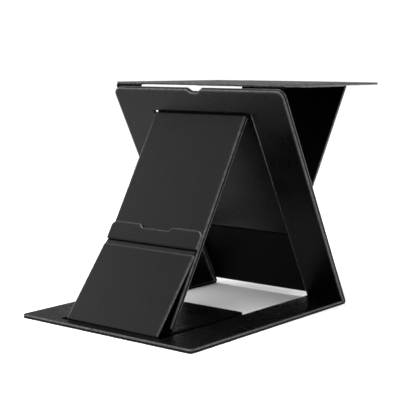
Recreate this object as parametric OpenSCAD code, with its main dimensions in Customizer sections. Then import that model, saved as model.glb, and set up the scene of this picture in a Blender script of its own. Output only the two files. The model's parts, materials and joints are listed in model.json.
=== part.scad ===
// Folding board laptop stand: a covered base with a leaning back, a kickstand
// that props the back, a level top shelf, a rear strut and a front flap.
// Millimetres. +Z is up, the front is -Y, and the origin is on the floor under
// the middle of the stand.

/* [Overall] */
// Width across the stand
stand_w = 237.5; // [230:0.5:245]
// Radius of the base's front corners
base_r = 4.5; // [3:0.5:9]
// Radius of the back's top corners
corner_r = 9; // [6:0.5:10]
// Radius of the shelf's rear corners
shelf_r = 2.5; // [2:0.5:9]
// Clearance left between pieces that move
gap = 0.3; // [0.25:0.05:0.35]

/* [Base] */
// Front edge of the base to the foot of the back
base_l = 288.6; // [287:0.2:290]
// Thickness of the base's lower board
lower_t = 1.6; // [1.2:0.1:1.8]
// Thickness of the base's upper board and of the deck flap
upper_t = 2.8; // [2.6:0.1:2.9]
// Width of the opening through the base and the back
window_w = 139; // [137:0.5:141]
// Depth of the front rail
front_rail = 12; // [10:0.5:12]
// Length of the lower board under the deck flap
lower_l = 160; // [150:1:165]
// Front end of the deck flap
deck_y = 37; // [36:0.5:42]

/* [Back] */
// Lean of the back from the floor, in degrees
back_angle = 61.58; // [61.4:0.02:61.8]
// Length of the back
back_l = 284.3; // [283.6:0.1:285]
// Thickness of each of its two boards
back_board_t = 3.5; // [3.4:0.05:3.6]
// Top of its window, measured up the back
window_top = 256; // [255.5:0.25:256.5]
// Half width of the finger notch in its top edge, at the edge
notch_half_w = 10; // [8:0.5:12]
// Half width of the finger notch's floor
notch_floor = 4.5; // [3:0.5:6]
// Depth of the finger notch
notch_d = 4.2; // [3:0.1:5]
// Lower end of the ledge panel, measured up the back
ledge_from = 8; // [7:0.5:12]
// Upper end of the ledge panel, where the strut's foot rests
ledge_to = 91.2; // [80:0.4:91.2]
// Width of the ledge panel
ledge_w = 150; // [144:1:152]
// Thickness of the ledge panel
ledge_t = 1.7; // [1.2:0.1:1.7]

/* [Kickstand] */
// Width of the kickstand, the front flap, the strip and the deck flap
leaf_w = 127; // [124:0.5:130]
// Lean of the kickstand from the floor, in degrees
kick_angle = 59.5; // [59.4:0.05:59.7]
// Length of the kickstand
kick_l = 247.5; // [246.5:0.1:247.6]
// Thickness of each of its two boards
kick_board_t = 3.3; // [3.2:0.05:3.35]

/* [Top shelf] */
// Thickness of the top board and of the board under it
top_t = 2.8; // [2.6:0.1:3]
// Length of the top board
top_l = 196.4; // [192:0.2:198]
// Gap between the back's top corner and the top board
top_gap = 1.6; // [1.4:0.1:2]
// Depth of the recess in its front edge
recess_d = 4; // [2:0.5:6]
// Width of the recess in its front edge
recess_w = 156; // [150:1:160]
// Width of the board under it, and of the rear strut
under_w = 152; // [148:1:154]
// Length of the board under it
under_l = 95.5; // [80:0.5:97]

/* [Rear strut] */
// Lean of the strut from the floor, in degrees
strut_angle = 58.5; // [58.3:0.05:58.7]
// Thickness of the strut
strut_t = 3.2; // [3:0.1:3.3]

/* [Front flap and strip] */
// Lean of the front flap from the floor, in degrees
flap_angle = 51.6; // [51.4:0.05:51.7]
// Length of the front flap
flap_l = 95.6; // [94:0.1:95.8]
// Thickness of the front flap and of the strip above it
flap_t = 3; // [2.8:0.1:3]
// Length of the strip
strip_l = 21.7; // [20:0.1:24]
// Height of the strip's lower edge
strip_z = 84.6; // [84.2:0.1:86]
// Depth of the notch in the strip's top edge
strip_notch_d = 4.2; // [3:0.1:5]
// Half width of the strip's notch at its floor
strip_notch_half_w = 18.4; // [16:0.2:20]

/* [Hidden] */
$fn = 96;
small_r = 1.5;
leaf_r = 7;
notch_slope = 4.3;
hinge_r = back_board_t;
back_t = 2 * back_board_t;
base_t = lower_t + upper_t;
rail_w = (stand_w - window_w) / 2;
rail_x = window_w / 2 + rail_w / 2;

// Unit vectors of the back: up along it, and out of its rear face.
up_y = -cos(back_angle);
up_z = sin(back_angle);
out_y = sin(back_angle);
out_z = cos(back_angle);

// Rear hinge line: the round lower end of the back rests on the floor.
hinge_u = (hinge_r + hinge_r * out_z) / up_z;
base_end = base_l - back_t / out_y - base_t / tan(back_angle) - gap;

// Top rear corner of the back, and the shelf above it.
back_top_y = base_l + up_y * back_l;
back_top_z = up_z * back_l;
shelf_z = back_top_z + top_gap;
shelf_y = back_top_y + gap;
stand_d = shelf_y + top_l;
top_hinge_y = back_top_y;
top_hinge_z = back_top_z + top_gap / 2;

// Kickstand hinge line, at the front edge of the back's window top, and the length
// of bare fold between it and the kickstand's boards.
kick_y = base_l + up_y * window_top - out_y * back_t;
kick_z = up_z * window_top - out_z * back_t;
kick_start = 2.2;

// Strut hinge line under the shelf's rear edge, and the strut's length to the back.
strut_y = stand_d - gap;
strut_z = shelf_z - 2;
strut_rise_y = cos(strut_angle);
strut_rise_z = sin(strut_angle);
strut_far = (strut_y - base_l) * out_y + strut_z * out_z;
strut_edge = strut_t * (strut_rise_z * out_y - strut_rise_y * out_z);
strut_close = strut_rise_y * out_y + strut_rise_z * out_z;
strut_l = (strut_far - strut_edge - gap) / strut_close - 0.05;

// Front flap hinge line, and the front face of the strip on the kickstand.
flap_y = front_rail + 1.4;
flap_z = base_t + 0.4;
kick_front_y = kick_y - (kick_z - strip_z) / tan(kick_angle);
strip_y = kick_front_y - (flap_t + gap + 0.05) / sin(kick_angle);

// Magnets and the steel pieces they hold to.
magnet_r = 5;
magnet_t = 1.6;
magnet_x = 42;
bar_w = 12;
bar_l = 6;
bar_t = 1.6;
bar_x = 69;
plate_t = 1;

// ---- placing ----

// Moves a piece drawn from the front edge of the base to the origin's frame.
module seat() {
  translate([0, -stand_d / 2, 0]) children();
}

// Leans a flat piece: its length runs along the slope, from the point y, z.
module lean(y, z, angle) {
  seat() translate([0, y, z]) rotate([angle, 0, 0]) children();
}

module on_back() {
  lean(base_l, 0, 180 - back_angle) children();
}

module on_kick() {
  lean(kick_y, kick_z, 180 + kick_angle) children();
}

module on_strut() {
  lean(strut_y, strut_z, 180 + strut_angle) children();
}

module on_flap() {
  lean(flap_y, flap_z, flap_angle) children();
}

module on_strip() {
  lean(strip_y, strip_z, kick_angle) children();
}

module colour_cover() {
  color([0.10, 0.10, 0.11]) children();
}

module colour_steel() {
  color([0.65, 0.66, 0.68]) children();
}

// ---- outlines ----

// Rectangle w wide and l long, its near and far corners rounded apart.
module rounded(w, l, near_r, far_r) {
  translate([-w / 2, near_r]) square([w, l - near_r - far_r]);
  translate([-w / 2 + near_r, 0]) square([w - 2 * near_r, near_r + 0.5]);
  translate([-w / 2 + far_r, l - far_r - 0.5]) square([w - 2 * far_r, far_r + 0.5]);
  for (side = [-1, 1]) {
    translate([side * (w / 2 - near_r), near_r]) circle(r = near_r);
    translate([side * (w / 2 - far_r), l - far_r]) circle(r = far_r);
  }
}

// Outline of the back, with its window and finger notch.
module back_outline() {
  difference() {
    translate([0, hinge_u]) rounded(stand_w, back_l - hinge_u, 0.5, corner_r);
    translate([-window_w / 2, -1]) square([window_w, window_top + 1]);
    polygon([
      [-notch_half_w, back_l + 1],
      [-notch_half_w, back_l],
      [-notch_floor, back_l - notch_d],
      [notch_floor, back_l - notch_d],
      [notch_half_w, back_l],
      [notch_half_w, back_l + 1]
    ]);
  }
}

// ---- base ----

module lower_board() {
  colour_cover() seat() linear_extrude(lower_t) difference() {
    rounded(stand_w, base_end, base_r, 0.5);
    translate([-window_w / 2, lower_l]) square([window_w, base_end]);
  }
}

module upper_board() {
  colour_cover() seat() translate([0, 0, lower_t]) linear_extrude(upper_t) difference() {
    rounded(stand_w, base_end, base_r, 0.5);
    translate([-window_w / 2, front_rail]) square([window_w, base_end]);
  }
}

module deck_flap() {
  colour_cover() seat() translate([0, deck_y, lower_t]) linear_extrude(upper_t)
    rounded(leaf_w, lower_l - deck_y, small_r, 3);
}

// ---- back ----

module back_front_board() {
  colour_cover() on_back() translate([0, 0, back_board_t])
    linear_extrude(back_board_t) back_outline();
}

module back_rear_board() {
  colour_cover() on_back() difference() {
    linear_extrude(back_board_t) back_outline();
    keeper_bars();
  }
}

module ledge_panel() {
  colour_cover() on_back() translate([0, ledge_from, -ledge_t])
    linear_extrude(ledge_t) rounded(ledge_w, ledge_to - ledge_from, small_r, small_r);
}

// Steel bars set into the back's rear face, one under each end of the strut's foot.
module keeper_bars() {
  for (side = [-1, 1])
    translate([side * (window_w / 2 + 5) - 3, ledge_to + 1, 0]) cube([6, 14, plate_t]);
}

module back_keepers() {
  colour_steel() on_back() keeper_bars();
}

// Half round at the foot of the back, at one side.
module fold_round(side) {
  colour_cover() on_back() translate([side * rail_x, hinge_u, hinge_r]) rotate([0, 90, 0])
    linear_extrude(rail_w - 1, center = true) intersection() {
      circle(r = hinge_r);
      translate([-hinge_r, -hinge_r]) square([2 * hinge_r, hinge_r]);
    }
}

// ---- kickstand ----

module kick_front_board() {
  colour_cover() on_kick() difference() {
    translate([0, kick_start, 0]) linear_extrude(kick_board_t)
      rounded(leaf_w, kick_l - kick_start, small_r, small_r);
    keeper_plate();
  }
}

module kick_rear_board() {
  colour_cover() on_kick() translate([0, kick_start, kick_board_t])
    linear_extrude(kick_board_t) rounded(leaf_w, kick_l - kick_start, small_r, small_r);
}

// Steel plate between the boards, behind the strip.
module keeper_plate() {
  translate([-50, (kick_z - strip_z) / sin(kick_angle) - strip_l, kick_board_t - plate_t])
    cube([100, strip_l - 5, plate_t]);
}

module kick_keeper() {
  colour_steel() on_kick() keeper_plate();
}

// ---- top shelf ----

module top_board() {
  colour_cover() seat() translate([0, shelf_y, shelf_z]) linear_extrude(top_t) difference() {
    rounded(stand_w, top_l, small_r, shelf_r);
    translate([-recess_w / 2, -1]) square([recess_w, recess_d + 1]);
  }
}

module under_board() {
  colour_cover() seat() translate([0, stand_d - 5.2 - under_l, shelf_z - top_t])
    linear_extrude(top_t) rounded(under_w, under_l, small_r, small_r);
}

// Fold that joins the shelf's front edge to the back, at one side.
module top_fold(side) {
  fold_w = (stand_w - recess_w) / 2 - 3;
  fold_x = recess_w / 2 + fold_w / 2 + 1;
  colour_cover() seat() translate([side * fold_x, top_hinge_y, top_hinge_z])
    rotate([90, 0, 90]) linear_extrude(fold_w, center = true)
      polygon([[-0.35, -0.1], [0.25, -0.3], [4, top_gap / 2], [0.3, top_gap / 2]]);
}

module strut_fold() {
  colour_cover() seat() translate([-under_w / 2, stand_d - 0.5, strut_z + 0.4])
    cube([under_w, 0.5, shelf_z - strut_z - 0.4]);
}

// ---- rear strut ----

module strut_board() {
  colour_cover() on_strut() difference() {
    translate([0, 0, -strut_t]) linear_extrude(strut_t) rounded(under_w, strut_l, 0.5, small_r);
    magnet_bars();
  }
}

// Bar magnets let into the strut's foot, facing the steel bars in the back.
module magnet_bars() {
  for (side = [-1, 1])
    translate([side * bar_x - bar_w / 2, strut_l - bar_l - 0.5, -strut_t])
      cube([bar_w, bar_l, bar_t]);
}

module strut_magnets() {
  colour_steel() on_strut() magnet_bars();
}

// ---- front flap and strip ----

module flap_board() {
  colour_cover() on_flap() translate([0, 0, -flap_t])
    linear_extrude(flap_t) rounded(leaf_w, flap_l, small_r, small_r);
}

module strip_board() {
  colour_cover() on_strip() difference() {
    translate([0, 0, -flap_t]) linear_extrude(flap_t) difference() {
      rounded(leaf_w, strip_l, small_r, leaf_r);
      polygon([
        [-strip_notch_half_w - notch_slope, strip_l + 1],
        [-strip_notch_half_w - notch_slope, strip_l],
        [-strip_notch_half_w, strip_l - strip_notch_d],
        [strip_notch_half_w, strip_l - strip_notch_d],
        [strip_notch_half_w + notch_slope, strip_l],
        [strip_notch_half_w + notch_slope, strip_l + 1]
      ]);
    }
    magnet_discs();
  }
}

// Disc magnets let into the back of the strip.
module magnet_discs() {
  for (side = [-1, 1])
    translate([side * magnet_x, strip_l / 2, -flap_t]) cylinder(r = magnet_r, h = magnet_t);
}

module strip_magnets() {
  colour_steel() on_strip() magnet_discs();
}

// ---- drawing ----

lower_board();
upper_board();
deck_flap();
back_front_board();
back_rear_board();
ledge_panel();
back_keepers();
fold_round(-1);  // fold_left
fold_round(1);  // fold_right
kick_front_board();
kick_rear_board();
kick_keeper();
top_board();
under_board();
top_fold(-1);  // top_fold_left
top_fold(1);  // top_fold_right
strut_fold();
strut_board();
strut_magnets();
flap_board();
strip_board();
strip_magnets();
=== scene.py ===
"""Folding laptop stand of leatherette-covered boards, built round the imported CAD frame."""

import json
import math

import bmesh
import bpy
from mathutils import Matrix, Vector, noise


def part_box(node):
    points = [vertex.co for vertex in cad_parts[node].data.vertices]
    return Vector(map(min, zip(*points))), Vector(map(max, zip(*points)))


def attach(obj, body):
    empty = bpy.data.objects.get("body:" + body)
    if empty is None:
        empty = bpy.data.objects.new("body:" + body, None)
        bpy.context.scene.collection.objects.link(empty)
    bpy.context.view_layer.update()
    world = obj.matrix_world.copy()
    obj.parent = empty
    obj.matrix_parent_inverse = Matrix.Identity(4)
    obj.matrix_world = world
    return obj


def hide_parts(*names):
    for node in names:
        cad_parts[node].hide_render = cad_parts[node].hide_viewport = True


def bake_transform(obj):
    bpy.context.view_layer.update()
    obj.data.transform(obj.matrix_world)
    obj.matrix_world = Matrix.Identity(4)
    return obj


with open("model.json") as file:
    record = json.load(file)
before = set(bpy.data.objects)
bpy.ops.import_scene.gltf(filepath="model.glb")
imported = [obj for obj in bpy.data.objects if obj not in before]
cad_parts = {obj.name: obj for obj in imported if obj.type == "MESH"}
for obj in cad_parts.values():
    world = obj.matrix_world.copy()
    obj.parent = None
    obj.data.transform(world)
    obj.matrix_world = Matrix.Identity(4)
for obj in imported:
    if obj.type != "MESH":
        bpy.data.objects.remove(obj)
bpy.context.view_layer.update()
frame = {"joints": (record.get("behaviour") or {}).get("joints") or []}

# ---- sizes, in millimetres and degrees ----

MM = 0.001
STAND_W = 237.5
BASE_R = 4.5
CORNER_R = 9.0
SHELF_R = 2.5
BASE_L = 288.6
LOWER_T = 1.6
BASE_T = 4.4
BASE_END = 278.0
WINDOW_W = 139.0
FRONT_RAIL = 12.0
LOWER_L = 160.0
DECK_Y = 37.0
BACK_ANGLE = 61.58
BACK_L = 284.3
BOARD_T = 3.5
BACK_T = 2 * BOARD_T
WINDOW_TOP = 256.0
LEDGE_FROM = 8.0
LEDGE_TO = 91.2
LEDGE_W = 150.0
LEDGE_T = 1.7
LEAF_W = 127.0
LEAF_R = 7.0
KICK_ANGLE = 59.5
KICK_L = 247.5
KICK_BOARD_T = 3.3
KICK_T = 2 * KICK_BOARD_T
TOP_T = 2.8
RECESS_W = 156.0
RECESS_D = 4.0
UNDER_W = 152.0
UNDER_L = 95.5
STRUT_ANGLE = 58.5
STRUT_T = 3.2
FLAP_ANGLE = 51.6
FLAP_L = 95.6
FLAP_T = 3.0
STRIP_Y = 75.891
STRIP_Z = 84.6
STRIP_L = 21.7
SMALL_R = 1.6
END_R = 0.8
RECESS_R = 1.2
DECK_R = 3.0
BACK_FROM = 5.27
NOTCH_TOP = 10.0
NOTCH_FLOOR = 4.5
NOTCH_D = 4.2
NOTCH_R = 2.5
STRIP_NOTCH_TOP = 22.7
STRIP_NOTCH_FLOOR = 18.4
STRIP_NOTCH_D = 4.2
STRIP_NOTCH_R = 2.0
KICK_FROM = 0.9
KICK_REAR_EXTRA = 1.45
UNDER_INSET = 5.2
STRUT_L = 198.2

FRONT_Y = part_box("lower_board")[0][1]
SHELF_LOW, SHELF_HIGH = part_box("top_board")


def from_front(y):
    """Metres in the row frame to millimetres behind the base's front edge."""
    return (y - FRONT_Y) / MM


SHELF_Y = from_front(SHELF_LOW[1])
SHELF_L = from_front(SHELF_HIGH[1]) - SHELF_Y
SHELF_Z = SHELF_LOW[2] / MM
STAND_D = SHELF_Y + SHELF_L


def joint_place(name):
    """Y and Z of a joint, in millimetres from the base's front edge and the floor."""
    for joint in frame["joints"]:
        if joint["name"] == name:
            return from_front(joint["pos_m"][1]), joint["pos_m"][2] / MM
    raise ValueError(name)


# ---- places ----

def place(y, z, angle=0.0):
    """Matrix from a flat piece in millimetres to its place in the row frame."""
    move = Matrix.Translation((0, FRONT_Y + y * MM, z * MM))
    return move @ Matrix.Rotation(math.radians(angle), 4, "X") @ Matrix.Scale(MM, 4)


KICK_Y, KICK_Z = joint_place("kick_fold")
STRUT_Y, STRUT_Z = joint_place("strut_swing")
FLAP_Y, FLAP_Z = joint_place("flap_fold")
REAR_Y, REAR_Z = joint_place("stand_fold")
TOP_Y, TOP_Z = joint_place("shelf_lift")

ON_BACK = place(BASE_L, 0, 180 - BACK_ANGLE)
ON_KICK = place(KICK_Y, KICK_Z, 180 + KICK_ANGLE)
ON_STRUT = place(STRUT_Y, STRUT_Z, 180 + STRUT_ANGLE)
ON_FLAP = place(FLAP_Y, FLAP_Z, FLAP_ANGLE)
ON_STRIP = place(STRIP_Y, STRIP_Z, KICK_ANGLE)
ON_FLOOR = place(0, 0)


def side_point(matrix, along, height):
    """Side view place, in millimetres from the front edge, of a point on a leaned piece."""
    p = matrix @ Vector((0, along, height))
    return from_front(p.y), p.z / MM


def back_point(along, height):
    return side_point(ON_BACK, along, height)


def kick_point(along, height):
    return side_point(ON_KICK, along, height)


def strut_point(along, height):
    return side_point(ON_STRUT, along, height)


def flap_point(along, height):
    return side_point(ON_FLAP, along, height)


def strip_point(along, height):
    return side_point(ON_STRIP, along, height)


# ---- outlines ----

def filleted(corners, inset=0.0, steps=6):
    """Points of a closed outline of (x, y, radius) corners, drawn inset by a distance."""
    n = len(corners)
    points = [Vector((c[0], c[1])) for c in corners]
    edges = [(points[(i + 1) % n] - points[i]).normalized() for i in range(n)]
    normals = [Vector((-e.y, e.x)) for e in edges]
    out = []
    for i in range(n):
        before, after = edges[i - 1], edges[i]
        shift = (normals[i - 1] + normals[i]) / (1 + normals[i - 1].dot(normals[i]))
        corner = points[i] + shift * inset
        turn = math.atan2(before.cross(after), before.dot(after))
        side = 1 if turn > 0 else -1
        radius = max(corners[i][2] - side * inset, 0.04)
        reach = radius * math.tan(abs(turn) / 2)
        start = corner - before * reach
        centre = start + normals[i - 1] * radius * side
        arm = start - centre
        for k in range(steps + 1):
            a = turn * k / steps
            turned = Vector((
                arm.x * math.cos(a) - arm.y * math.sin(a),
                arm.x * math.sin(a) + arm.y * math.cos(a),
            ))
            out.append(centre + turned)
    return out


def rectangle(w, y0, y1, near_r, far_r):
    """Corners of a board from y0 to y1, with its near and far corner radii."""
    return [
        (-w / 2, y0, near_r),
        (w / 2, y0, near_r),
        (w / 2, y1, far_r),
        (-w / 2, y1, far_r),
    ]


def fork(w, y0, y1, near_r, far_r, slot_y):
    """Rectangle with the base's opening cut into it from slot_y to its far end."""
    x = WINDOW_W / 2
    return [
        (-w / 2, y0, near_r),
        (w / 2, y0, near_r),
        (w / 2, y1, far_r),
        (x, y1, far_r),
        (x, slot_y, SMALL_R),
        (-x, slot_y, SMALL_R),
        (-x, y1, far_r),
        (-w / 2, y1, far_r),
    ]


def back_outline(y0):
    """The back's outline: open below round its window, with a finger notch above."""
    x = WINDOW_W / 2
    return [
        (-STAND_W / 2, y0, END_R),
        (-x, y0, END_R),
        (-x, WINDOW_TOP, SMALL_R),
        (x, WINDOW_TOP, SMALL_R),
        (x, y0, END_R),
        (STAND_W / 2, y0, END_R),
        (STAND_W / 2, BACK_L, CORNER_R),
        (NOTCH_TOP, BACK_L, NOTCH_R),
        (NOTCH_FLOOR, BACK_L - NOTCH_D, NOTCH_R),
        (-NOTCH_FLOOR, BACK_L - NOTCH_D, NOTCH_R),
        (-NOTCH_TOP, BACK_L, NOTCH_R),
        (-STAND_W / 2, BACK_L, CORNER_R),
    ]


def strip_outline():
    """The strip's outline, with a wide shallow notch in its upper edge."""
    return [
        (-LEAF_W / 2, 0, SMALL_R),
        (LEAF_W / 2, 0, SMALL_R),
        (LEAF_W / 2, STRIP_L, LEAF_R),
        (STRIP_NOTCH_TOP, STRIP_L, STRIP_NOTCH_R),
        (STRIP_NOTCH_FLOOR, STRIP_L - STRIP_NOTCH_D, STRIP_NOTCH_R),
        (-STRIP_NOTCH_FLOOR, STRIP_L - STRIP_NOTCH_D, STRIP_NOTCH_R),
        (-STRIP_NOTCH_TOP, STRIP_L, STRIP_NOTCH_R),
        (-LEAF_W / 2, STRIP_L, LEAF_R),
    ]


def shelf_outline():
    """The shelf's outline, with a long shallow recess in its front edge."""
    x = RECESS_W / 2
    return [
        (-STAND_W / 2, 0, SMALL_R),
        (-x, 0, RECESS_R),
        (-x, RECESS_D, RECESS_R),
        (x, RECESS_D, RECESS_R),
        (x, 0, RECESS_R),
        (STAND_W / 2, 0, SMALL_R),
        (STAND_W / 2, SHELF_L, SHELF_R),
        (-STAND_W / 2, SHELF_L, SHELF_R),
    ]


# ---- boards ----

RIM = 1.5
TURN = 1.5
TURN_SHARE = 0.45
FLAT_BAND = 14.0
SWAY_SCALE = 0.013
CUT_OFFSET = 0.013
FACING = 0.3
GRID = 9.0


def half_profile(r):
    """(inset, rise, edge wear and painted highlight) of each ring from a board's flat face to
    its side.
    """
    rings = [(r + RIM, 0.0, 0.0)]
    # Ring values: edge wear plus a painted highlight line, brightest on the middle of the
    # rounding.
    for angle, value in ((0, 0.15), (22.5, 0.55), (45, 0.9), (67.5, 1.0), (90, 0.9)):
        a = math.radians(angle)
        rings.append((r * (1 - math.sin(a)), r * (1 - math.cos(a)), value))
    return rings


def ring_profile(z0, z1, r, seam):
    """(inset, height, edge wear and painted highlight) of each ring round a board, from its
    under side up.

    seam is "low" or "high" where that face lies against another board: it gets neither wear
    nor a painted highlight, so the seam stays dark.
    """
    low = [(inset, z0 + rise, value) for inset, rise, value in half_profile(r)]
    high = [(inset, z1 - rise, value) for inset, rise, value in half_profile(r)[::-1]]
    if seam == "low":
        low = [(inset, z, 0.0) for inset, z, value in low[:-1]] + low[-1:]
    if seam == "high":
        high = high[:1] + [(inset, z, 0.0) for inset, z, value in high[1:]]
    return low + high


def near_edges(x, face):
    return face.y < -FACING


def near_and_far_edges(x, face):
    return abs(face.y) > FACING


def opening_edges(x, face):
    return abs(x) < WINDOW_W / 2 + 2


def all_edges(x, face):
    return True


def distance_to(point, outline):
    """Shortest distance from a point to a closed outline."""
    best = 1e9
    for i, a in enumerate(outline):
        b = outline[(i + 1) % len(outline)]
        run = b - a
        t = max(0.0, min(1.0, (point - a).dot(run) / max(run.length_squared, 1e-9)))
        best = min(best, (point - a - run * t).length)
    return best


def cut_caps(bm, caps):
    """Splits the flat faces of a board into a grid, so that they can undulate."""
    for axis in (0, 1):
        spread = [v.co[axis] for v in bm.verts]
        low, high = min(spread), max(spread)
        count = int((high - low) / GRID)
        normal = Vector((1, 0, 0)) if axis == 0 else Vector((0, 1, 0))
        for k in range(1, count):
            where = normal * (low + (high - low) * k / count + CUT_OFFSET)
            geometry = list(caps)
            geometry += list({e for f in caps for e in f.edges})
            geometry += list({v for f in caps for v in f.verts})
            cut = bmesh.ops.bisect_plane(
                bm, geom=geometry, plane_co=where, plane_no=normal, dist=1e-4
            )
            caps = [g for g in cut["geom"] if isinstance(g, bmesh.types.BMFace)]
    return caps


def finish_mesh(bm, name, matrix, wear_and_highlight):
    """Turns a bmesh in millimetres into an object in its place, with its edge wear and
    painted highlight stored.
    """
    bmesh.ops.recalc_face_normals(bm, faces=bm.faces)
    mesh = bpy.data.meshes.new(name)
    bm.verts.ensure_lookup_table()
    values = [v[wear_and_highlight] for v in bm.verts]
    bm.to_mesh(mesh)
    bm.free()
    mesh.transform(matrix)
    for polygon in mesh.polygons:
        polygon.use_smooth = True
    attribute = mesh.attributes.new("wear_and_highlight", "FLOAT", "POINT")
    attribute.data.foreach_set("value", values)
    piece = bpy.data.objects.new(name, mesh)
    bpy.context.scene.collection.objects.link(piece)
    return piece


def board(name, corners, z0, z1, matrix, body, nodes, material, swell=0.06,
          seam=None, unworn_unlit=None, turn=TURN):
    """A covered board: flat faces that undulate a little, and a rounded turned edge.

    unworn_unlit picks the edges that get neither wear nor a painted highlight, by their x and
    the way they face.
    turn is the largest radius that its edges are rounded to.
    """
    r = min((z1 - z0) * TURN_SHARE, turn)
    rings = ring_profile(z0, z1, r, seam)
    edge = filleted(corners)
    faces = [(a - b).normalized() for a, b in zip(edge, filleted(corners, 0.5))]
    # Edges turned away from the light, or lying in gaps, get no painted highlight, so they
    # stay dark; the rest get wear and a painted highlight.
    rubbed_and_highlit = [0.0 if unworn_unlit and unworn_unlit(p.x, f) else 1.0 for p, f in zip(edge, faces)]
    bm = bmesh.new()
    wear_and_highlight = bm.verts.layers.float.new("made_wear_and_highlight")
    loops = []
    for inset, z, value in rings:
        loop = []
        for p, share in zip(filleted(corners, inset), rubbed_and_highlit):
            v = bm.verts.new((p.x, p.y, z))
            v[wear_and_highlight] = value * share
            loop.append(v)
        loops.append(loop)
    n = len(loops[0])
    for low, high in zip(loops, loops[1:]):
        for i in range(n):
            bm.faces.new((low[i], low[(i + 1) % n], high[(i + 1) % n], high[i]))
    caps = [bm.faces.new(loops[-1]), bm.faces.new(loops[0][::-1])]
    bm.normal_update()
    caps = bmesh.ops.triangulate(bm, faces=caps, ngon_method="EAR_CLIP")["faces"]
    rim = {v for loop in loops for v in loop}
    caps = cut_caps(bm, caps)
    outline = filleted(corners, r + RIM, 2)
    seed = sum(ord(c) for c in name)
    for v in {v for f in caps for v in f.verts} - rim:
        flat = Vector((v.co.x, v.co.y))
        near = min(distance_to(flat, outline) / FLAT_BAND, 1.0)
        sway = noise.noise(Vector((v.co.x * SWAY_SCALE, v.co.y * SWAY_SCALE, seed)))
        v.co.z += swell * near * near * (3 - 2 * near) * sway
    piece = finish_mesh(bm, name, matrix, wear_and_highlight)
    piece.data.materials.append(material)
    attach(piece, body)
    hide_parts(*nodes)
    return piece


# ---- folds of the cover ----

COVER_T = 0.7
RIPPLE = 0.10
# Wear and a painted highlight along the middle of each fold's bend.
FOLD_WEAR_AND_SHEEN = 0.35

def smooth_path(points, step=0.7):
    """Catmull-Rom curve through side view points, sampled about every step."""
    pts = [Vector(p) for p in points]
    pts = [2 * pts[0] - pts[1]] + pts + [2 * pts[-1] - pts[-2]]
    out = []
    for i in range(1, len(pts) - 2):
        a, b, c, d = pts[i - 1:i + 3]
        count = max(1, int((c - b).length / step))
        for k in range(count):
            t = k / count
            out.append(0.5 * (
                2 * b + (c - a) * t
                + (2 * a - 5 * b + 4 * c - d) * t * t
                + (3 * b - a - 3 * c + d) * t * t * t
            ))
    out.append(pts[-2])
    return out


def skin(name, path, x0, x1, bodies, span, slot, material, nodes=(), inside=1):
    """A strip of cover along a side view path, from one body to another across a fold.

    inside is the side of the path that its thickness lies on, seen walking along it.
    """
    line = smooth_path(path)
    count = len(line)
    width = x1 - x0
    columns = max(3, int(width / (3.5)))
    xs = [x0, x0 + 0.25, x0 + 0.8]
    xs += [x0 + 0.8 + (width - 1.6) * k / columns for k in range(1, columns)]
    xs += [x1 - 0.8, x1 - 0.25, x1]
    drop = {0: 0.5, 1: 0.18, len(xs) - 2: 0.18, len(xs) - 1: 0.5}
    bm = bmesh.new()
    wear_and_highlight = bm.verts.layers.float.new("made_wear_and_highlight")
    outer, inner = [], []
    seed = sum(ord(c) for c in name)
    for i, p in enumerate(line):
        run = (line[min(i + 1, count - 1)] - line[max(i - 1, 0)]).normalized()
        inward = Vector((-run.y, run.x)) * inside
        middle = math.sin(math.pi * i / (count - 1))
        outer_row, inner_row = [], []
        for j, x in enumerate(xs):
            ripple = noise.noise(Vector((x * 0.11, i * 0.45, seed))) * RIPPLE * middle
            surface = p + inward * (drop.get(j, 0.0) * COVER_T + max(0.0, ripple))
            below = p + inward * COVER_T
            v = bm.verts.new((x, surface.x, surface.y))
            # The fold's outer face gets wear and a painted highlight, strongest at the middle
            # of the bend.
            v[wear_and_highlight] = FOLD_WEAR_AND_SHEEN * middle
            outer_row.append(v)
            w = bm.verts.new((x, below.x, below.y))
            w[wear_and_highlight] = 0.0
            inner_row.append(w)
        outer.append(outer_row)
        inner.append(inner_row)
    last = len(xs) - 1
    for i in range(count - 1):
        for j in range(last):
            bm.faces.new((outer[i][j], outer[i][j + 1], outer[i + 1][j + 1], outer[i + 1][j]))
            bm.faces.new((inner[i][j], inner[i + 1][j], inner[i + 1][j + 1], inner[i][j + 1]))
        bm.faces.new((outer[i][0], outer[i + 1][0], inner[i + 1][0], inner[i][0]))
        bm.faces.new((outer[i][last], inner[i][last], inner[i + 1][last], outer[i + 1][last]))
    for row, flip in ((0, 1), (count - 1, -1)):
        for j in range(last):
            corners = [outer[row][j], inner[row][j], inner[row][j + 1], outer[row][j + 1]]
            bm.faces.new(corners[::flip])
    piece = finish_mesh(bm, name, ON_FLOOR, wear_and_highlight)
    piece.data.materials.append(material)
    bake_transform(piece)
    if nodes:
        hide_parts(*nodes)
    return piece


# ---- materials ----

def new_material(name):
    material = bpy.data.materials.new(name)
    material.use_nodes = True
    tree = material.node_tree
    return material, tree, tree.nodes["Principled BSDF"]


def add(tree, kind, **values):
    """Adds a node; keywords set its properties, or inputs where the name is an input."""
    node = tree.nodes.new(kind)
    for key, value in values.items():
        if key in node.inputs:
            node.inputs[key].default_value = value
        else:
            setattr(node, key, value)
    return node


def ramp(tree, source, low, high, to_low, to_high):
    node = add(tree, "ShaderNodeMapRange")
    for key, value in zip(("From Min", "From Max", "To Min", "To Max"),
                          (low, high, to_low, to_high)):
        node.inputs[key].default_value = value
    tree.links.new(source, node.inputs["Value"])
    return node.outputs["Result"]


def times(tree, a, b):
    node = add(tree, "ShaderNodeMath", operation="MULTIPLY")
    tree.links.new(a, node.inputs[0])
    if isinstance(b, float):
        node.inputs[1].default_value = b
    else:
        tree.links.new(b, node.inputs[1])
    return node.outputs[0]


def plus(tree, a, b):
    node = add(tree, "ShaderNodeMath", operation="ADD")
    tree.links.new(a, node.inputs[0])
    tree.links.new(b, node.inputs[1])
    return node.outputs[0]


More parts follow.
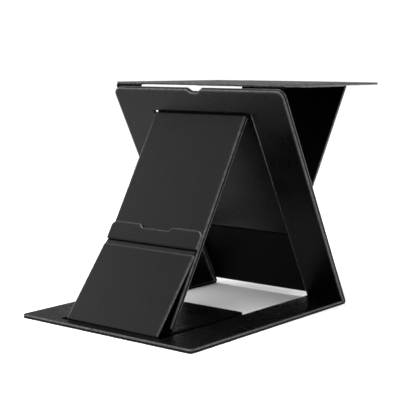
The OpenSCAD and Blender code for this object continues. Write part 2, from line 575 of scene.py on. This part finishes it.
def leatherette(name, colour, worn_and_highlight, rough, grain=0.75, depth=0.022, gloss=0.12):
    """Embossed cover: pebbled grain, cloudy tone, and edges worn smoother and painted
    lighter, partly as wear and partly as a painted highlight.

    grain is the pebbles' size and depth their height, in millimetres.
    """
    material, tree, shader = new_material(name)
    link = tree.links.new
    where = add(tree, "ShaderNodeTexCoord").outputs["Object"]
    warp = add(tree, "ShaderNodeTexNoise", Scale=420.0, Detail=2.0)
    link(where, warp.inputs["Vector"])
    bend = add(tree, "ShaderNodeVectorMath", operation="SCALE")
    bend.inputs["Scale"].default_value = 0.7 * MM
    link(warp.outputs["Color"], bend.inputs[0])
    bent = add(tree, "ShaderNodeVectorMath", operation="ADD")
    link(where, bent.inputs[0])
    link(bend.outputs[0], bent.inputs[1])
    pebble = add(tree, "ShaderNodeTexVoronoi", feature="DISTANCE_TO_EDGE", Scale=1000 / grain)
    link(bent.outputs[0], pebble.inputs["Vector"])
    fine = add(tree, "ShaderNodeTexNoise", Scale=3800.0, Detail=3.0)
    link(where, fine.inputs["Vector"])
    cloud = add(tree, "ShaderNodeTexNoise", Scale=34.0, Detail=6.0)
    link(where, cloud.inputs["Vector"])
    pull = add(tree, "ShaderNodeTexNoise", Scale=110.0, Detail=3.0)
    link(where, pull.inputs["Vector"])
    rub = add(tree, "ShaderNodeTexNoise", Scale=260.0, Detail=4.0)
    link(where, rub.inputs["Vector"])

    # The wear attribute mixes the edges toward the light edge colour: partly wear, partly a
    # painted highlight.
    wear_and_highlight = add(tree, "ShaderNodeAttribute", attribute_name="wear_and_highlight").outputs["Fac"]
    rubbed_and_highlit = times(tree, wear_and_highlight, ramp(tree, rub.outputs["Fac"], 0.3, 0.65, 0.45, 1.0))
    height = ramp(tree, pebble.outputs["Distance"], 0.0, 0.28, 0.0, 1.0)
    valley = ramp(tree, pebble.outputs["Distance"], 0.0, 0.16, 0.72, 1.0)
    tone = times(tree, ramp(tree, cloud.outputs["Fac"], 0.2, 0.8, 0.7, 1.3), valley)

    base = add(tree, "ShaderNodeMix", data_type="RGBA", blend_type="MULTIPLY")
    base.inputs["Factor"].default_value = 1.0
    base.inputs[6].default_value = (*colour, 1)
    grey = add(tree, "ShaderNodeCombineColor")
    for socket in grey.inputs[:3]:
        link(tone, socket)
    link(grey.outputs[0], base.inputs[7])
    mixed = add(tree, "ShaderNodeMix", data_type="RGBA")
    link(rubbed_and_highlit, mixed.inputs["Factor"])
    link(base.outputs[2], mixed.inputs[6])
    mixed.inputs[7].default_value = (*worn_and_highlight, 1)
    link(mixed.outputs[2], shader.inputs["Base Color"])

    cloudy = ramp(tree, cloud.outputs["Fac"], 0.2, 0.8, rough - 0.05, rough + 0.05)
    smoother = plus(tree, cloudy, times(tree, rubbed_and_highlit, -0.08))
    link(smoother, shader.inputs["Roughness"])
    shader.inputs["Specular IOR Level"].default_value = gloss

    relief = plus(tree, height, times(tree, fine.outputs["Fac"], 0.35))
    bump = add(tree, "ShaderNodeBump", Strength=1.0, Distance=depth * MM)
    link(relief, bump.inputs["Height"])
    slack = add(tree, "ShaderNodeBump", Strength=1.0, Distance=0.09 * MM)
    link(pull.outputs["Fac"], slack.inputs["Height"])
    link(bump.outputs["Normal"], slack.inputs["Normal"])
    link(slack.outputs["Normal"], shader.inputs["Normal"])
    return material


def plain(name, colour, rough):
    """A smooth surface with a slight cloudiness."""
    material, tree, shader = new_material(name)
    where = add(tree, "ShaderNodeTexCoord").outputs["Object"]
    cloud = add(tree, "ShaderNodeTexNoise", Scale=60.0, Detail=4.0)
    tree.links.new(where, cloud.inputs["Vector"])
    spread = ramp(tree, cloud.outputs["Fac"], 0.3, 0.7, rough - 0.05, rough + 0.05)
    tree.links.new(spread, shader.inputs["Roughness"])
    shader.inputs["Base Color"].default_value = (*colour, 1)
    return material


# Each material's second colour is its light edge colour: wear plus a painted highlight.
CHARCOAL = (0.0013, 0.0013, 0.0014)
RUBBED_AND_HIGHLIT = (0.09, 0.09, 0.091)
COVER = leatherette("cover", CHARCOAL, RUBBED_AND_HIGHLIT, 0.28)
FLAP_COVER = leatherette("flap_cover", CHARCOAL, RUBBED_AND_HIGHLIT, 0.29)
FOLD_COVER = leatherette("fold_cover", (0.0012, 0.0012, 0.0013), (0.006, 0.006, 0.0062), 0.30,
                         grain=0.6, depth=0.03)
# A darker, duller copy of the fold cover: painted shade for folds that sit in gaps.
CREASE_SHADE = leatherette("crease_shade", (0.0005, 0.0005, 0.0005), (0.001, 0.001, 0.001), 0.48,
                     grain=0.6, depth=0.03, gloss=0.03)
# A lining, darkened further as painted shade, because it shows in the gaps round the deck and
# in the cavity behind the back.
SHADED_LINING = leatherette("lining", (0.0007, 0.0007, 0.0007), (0.06, 0.06, 0.061), 0.5,
                     grain=0.5, depth=0.02, gloss=0.05)

# ---- the base ----

# The lower board takes the darkened lining: painted shade in the gaps round the deck and the
# opening.
board("base_under", fork(STAND_W, 0, BASE_END, BASE_R, END_R, LOWER_L), 0, LOWER_T,
      ON_FLOOR, "base", ["lower_board"], SHADED_LINING, swell=0.0, seam="high",
      unworn_unlit=opening_edges)
board("base_frame", fork(STAND_W, 0, BASE_END, BASE_R, END_R, FRONT_RAIL), LOWER_T, BASE_T,
      ON_FLOOR, "base", ["upper_board"], COVER, seam="low", unworn_unlit=opening_edges)
deck = rectangle(LEAF_W, DECK_Y, LOWER_L, SMALL_R, DECK_R)
board("deck", deck, LOWER_T, BASE_T, ON_FLOOR, "base", ["deck_flap"], COVER,
      unworn_unlit=all_edges)

# ---- the back ----

board("back_front", back_outline(BACK_FROM), BOARD_T, BACK_T, ON_BACK, "back",
      ["back_front_board"], COVER, seam="low", unworn_unlit=near_edges)
board("back_rear", back_outline(BACK_FROM), 0, BOARD_T, ON_BACK, "back",
      ["back_rear_board", "back_keepers"], COVER, seam="high", unworn_unlit=near_edges)
# The ledge takes the darkened lining: painted shade inside the stand.
board("ledge", rectangle(LEDGE_W, LEDGE_FROM, LEDGE_TO, SMALL_R, SMALL_R), -LEDGE_T, 0,
      ON_BACK, "back", ["ledge_panel"], SHADED_LINING, unworn_unlit=all_edges, turn=0.25)

# ---- the kickstand ----

leaf = rectangle(LEAF_W, KICK_FROM, KICK_L, SMALL_R, SMALL_R)
board("kick_front", leaf, 0, KICK_BOARD_T, ON_KICK, "kick",
      ["kick_front_board", "kick_keeper"], COVER, seam="high",
      unworn_unlit=near_and_far_edges)
rear_leaf = rectangle(LEAF_W, KICK_FROM, KICK_L + KICK_REAR_EXTRA, SMALL_R, SMALL_R)
board("kick_rear", rear_leaf, KICK_BOARD_T, KICK_T, ON_KICK, "kick",
      ["kick_rear_board"], COVER, seam="low", unworn_unlit=near_and_far_edges)

# ---- the shelf ----

board("shelf", shelf_outline(), 0, TOP_T, place(SHELF_Y, SHELF_Z), "top",
      ["top_board"], COVER)
under_y = STAND_D - UNDER_INSET - UNDER_L
board("shelf_under", rectangle(UNDER_W, 0, UNDER_L, SMALL_R, SMALL_R), 0, TOP_T,
      place(under_y, SHELF_Z - TOP_T), "top", ["under_board"], COVER)

# ---- the strut ----

board("strut", rectangle(UNDER_W, 0, STRUT_L, END_R, SMALL_R), -STRUT_T, 0, ON_STRUT, "strut",
      ["strut_board", "strut_magnets"], COVER, unworn_unlit=near_and_far_edges, turn=0.5)

# ---- the front flap and its strip ----

board("flap", rectangle(LEAF_W, 0, FLAP_L, SMALL_R, SMALL_R), -FLAP_T, 0, ON_FLAP, "flap",
      ["flap_board"], FLAP_COVER, unworn_unlit=near_edges)
board("strip", strip_outline(), -FLAP_T, 0, ON_STRIP, "strip",
      ["strip_board", "strip_magnets"], FLAP_COVER, unworn_unlit=near_edges)

# ---- folds ----

# Each path is side view points, from the body that a fold leaves to the one it reaches.

MARGIN_IN = WINDOW_W / 2 + 0.6
MARGIN_OUT = STAND_W / 2 - 0.6


def both_sides(name, path, x_in, x_out, bodies, span, nodes=None, material=FOLD_COVER,
               **options):
    """The same fold at the left and the right margin."""
    for side, a, b in (("left", -x_out, -x_in), ("right", x_in, x_out)):
        skin(f"{name}_{side}", path, a, b, bodies, span, "fold_cover", material,
             nodes=nodes[side] if nodes else (), **options)


out_angle = math.radians(90 - BACK_ANGLE)
heel = []
for k in range(9):
    a = -math.pi / 2 + (out_angle + math.pi / 2) * k / 8
    heel.append((REAR_Y + BOARD_T * math.cos(a), REAR_Z + BOARD_T * math.sin(a)))
heel = [(274.0, 0.35), (277.5, 0.1), (280.0, 0.0)] + heel
heel += [back_point(9, -0.05), back_point(13, -0.1), back_point(17, 0.3)]
both_sides("heel_fold", heel, MARGIN_IN, MARGIN_OUT, ("base", "back"),
           ((278.5, 0.5), (285.5, 3.0)),
           nodes={"left": ["fold_left"], "right": ["fold_right"]})

toe = [(270.5, BASE_T - 0.3), (273.0, BASE_T + 0.08), (275.6, BASE_T + 0.15),
       back_point(7.6, BACK_T + 0.7), back_point(10.5, BACK_T + 0.12),
       back_point(13.5, BACK_T + 0.08), back_point(16.5, BACK_T - 0.3)]
both_sides("toe_fold", toe, MARGIN_IN, MARGIN_OUT, ("base", "back"),
           ((275.0, 4.4), (279.5, 5.5)), inside=-1)

# The crown folds take the darker crease material: painted shade in the gap between the back
# and the shelf.
crown = [back_point(274, 0.3), back_point(277, -0.08), back_point(281, -0.15),
         (TOP_Y + 0.75, TOP_Z - 0.1), (TOP_Y + 3.4, SHELF_Z - 0.2),
         (TOP_Y + 7.0, SHELF_Z - 0.08), (TOP_Y + 10.0, SHELF_Z + 0.3)]
both_sides("crown_fold", crown, RECESS_W / 2 + 1.4, MARGIN_OUT, ("back", "top"),
           ((TOP_Y - 0.9, TOP_Z - 1.2), (TOP_Y + 1.6, TOP_Z + 0.9)),
           nodes={"left": ["top_fold_left"], "right": ["top_fold_right"]}, material=CREASE_SHADE)

# The lintel fold takes the darker crease material: painted shade in the gap between the
# window top and the kickstand.
lintel = [back_point(WINDOW_TOP + 7, BACK_T - 3.2), back_point(WINDOW_TOP + 4, BACK_T - 3.2),
          back_point(WINDOW_TOP + 0.8, BACK_T - 3.0), kick_point(1.0, 2.6),
          kick_point(4.2, 2.9), kick_point(7.2, 2.9)]
skin("lintel_fold", lintel, -LEAF_W / 2 + 0.8, LEAF_W / 2 - 0.8, ("back", "kick"),
     (back_point(WINDOW_TOP + 1.5, BACK_T), kick_point(2.0, 0)), "fold_cover", CREASE_SHADE,
     inside=1)

nape = [(STAND_D - 8, SHELF_Z + TOP_T - 0.3), (STAND_D - 5, SHELF_Z + TOP_T + 0.05),
        (STAND_D - 1.6, SHELF_Z + TOP_T + 0.05), (STAND_D + 0.15, SHELF_Z + TOP_T - 1.4),
        (STAND_D + 0.1, STRUT_Z + 1.2), strut_point(1.2, 0.22), strut_point(5, 0.12),
        strut_point(9, 0.08), strut_point(12, -0.3)]
skin("nape_fold", nape, -UNDER_W / 2 + 0.5, UNDER_W / 2 - 0.5, ("top", "strut"),
     ((STAND_D, STRUT_Z + 1.6), strut_point(1.6, 0)), "fold_cover", FOLD_COVER,
     nodes=["strut_fold"], inside=-1)

# The sill fold takes the darker crease material: painted shade in the gap at the flap's near
# end.
sill = [(FRONT_RAIL - 5, BASE_T - 1.2), (FRONT_RAIL - 2.5, BASE_T - 0.9),
        (FRONT_RAIL + 0.3, BASE_T - 0.8), flap_point(0.4, -0.9), flap_point(2, -1.3),
        flap_point(5, -1.5), flap_point(8, -1.5)]
skin("sill_fold", sill, -LEAF_W / 2 + 1, LEAF_W / 2 - 1, ("base", "flap"),
     ((FRONT_RAIL - 0.4, BASE_T), flap_point(1.2, 0)), "fold_cover", CREASE_SHADE, inside=-1)

groove = [flap_point(FLAP_L - 6, -0.9), flap_point(FLAP_L - 3, -0.8),
          flap_point(FLAP_L - 0.5, -0.55), strip_point(-2.0, -1.0), strip_point(-0.5, -1.9),
          strip_point(1.8, -2.2), strip_point(5, -2.1)]
skin("groove_fold", groove, -LEAF_W / 2 + 1, LEAF_W / 2 - 1, ("flap", "strip"),
     (flap_point(FLAP_L - 0.4, 0), strip_point(0.4, 0)), "fold_cover", FOLD_COVER, inside=-1)

# ---- floor, light and camera ----

floor_mesh = bpy.data.meshes.new("floor")
FLOOR_R = 1.55
FLOOR_SIDES = 96
rim_angles = [2 * math.pi * k / FLOOR_SIDES for k in range(FLOOR_SIDES)]
floor_mesh.from_pydata(
    [(FLOOR_R * math.cos(a), FLOOR_R * math.sin(a), 0) for a in rim_angles],
    [], [tuple(range(FLOOR_SIDES))],
)
floor = bpy.data.objects.new("floor", floor_mesh)
bpy.context.scene.collection.objects.link(floor)
floor_mesh.materials.append(plain("floor_paint", (0.95, 0.95, 0.95), 0.6))


def soft_light(name, where, target, size, watts):
    data = bpy.data.lights.new(name, "AREA")
    data.shape = "SQUARE"
    data.size = size
    data.energy = watts
    lamp = bpy.data.objects.new(name, data)
    lamp.location = where
    lamp.rotation_euler = (Vector(target) - Vector(where)).to_track_quat("-Z", "Y").to_euler()
    bpy.context.scene.collection.objects.link(lamp)


# Name, place, target, side length in metres, and power in watts.
LIGHTS = (
    ("ceiling", (0, 0.0, 3.0), (0, 0.0, 0), 2.4, 165),
    ("left", (-2.4, -0.5, 0.95), (0, 0, 0.12), 1.7, 22),
    ("right", (2.4, 0.3, 0.8), (0, 0, 0.05), 1.6, 5),
    ("front", (-1.6, -1.9, 2.1), (0, 0, 0.12), 2.0, 16),
)
for light in LIGHTS:
    soft_light(*light)

# A studio that is white up to the horizon and darker above it, most of all behind.
world = bpy.data.worlds.new("studio")
world.use_nodes = True
sky = world.node_tree
rise = add(sky, "ShaderNodeSeparateXYZ")
sky.links.new(add(sky, "ShaderNodeTexCoord").outputs["Generated"], rise.inputs[0])
height = ramp(sky, rise.outputs["Z"], 0.062, 0.13, 0.0, 1.0)
dimmer = ramp(sky, rise.outputs["Y"], -0.3, 0.4, -0.30, -0.88)
glow = ramp(sky, times(sky, height, dimmer), -1.0, 0.0, 0.05, 1.05)
sky.links.new(glow, sky.nodes["Background"].inputs["Strength"])
sky.nodes["Background"].inputs["Color"].default_value = (1, 1, 1, 1)
bpy.context.scene.world = world
bpy.context.scene.view_settings.view_transform = "Standard"

# Place in millimetres: across, behind the front edge, and above the floor.
CAMERA_AT = (746.8, -778.6, 275.7)
LENS = 96.84
SENSOR_W = 36.0
YAW, PITCH, ROLL = math.radians(38.44), math.radians(7.23), 0.004
forward = Vector((-math.sin(YAW) * math.cos(PITCH), math.cos(YAW) * math.cos(PITCH),
                  -math.sin(PITCH)))
level = Vector((math.cos(YAW), math.sin(YAW), 0))
above = level.cross(forward)
right = level * math.cos(ROLL) + above * math.sin(ROLL)
up = above * math.cos(ROLL) - level * math.sin(ROLL)
camera_turn = Matrix((right, up, -forward)).transposed().to_4x4()
camera_data = bpy.data.cameras.new("camera")
camera_data.lens = LENS
camera_data.sensor_width = SENSOR_W
camera_data.clip_start = 0.05
camera_data.clip_end = 100.0
camera = bpy.data.objects.new("camera", camera_data)
camera.matrix_world = Matrix.Translation(
    (CAMERA_AT[0] * MM, FRONT_Y + CAMERA_AT[1] * MM, CAMERA_AT[2] * MM)
) @ camera_turn
bpy.context.scene.collection.objects.link(camera)
bpy.context.scene.camera = camera
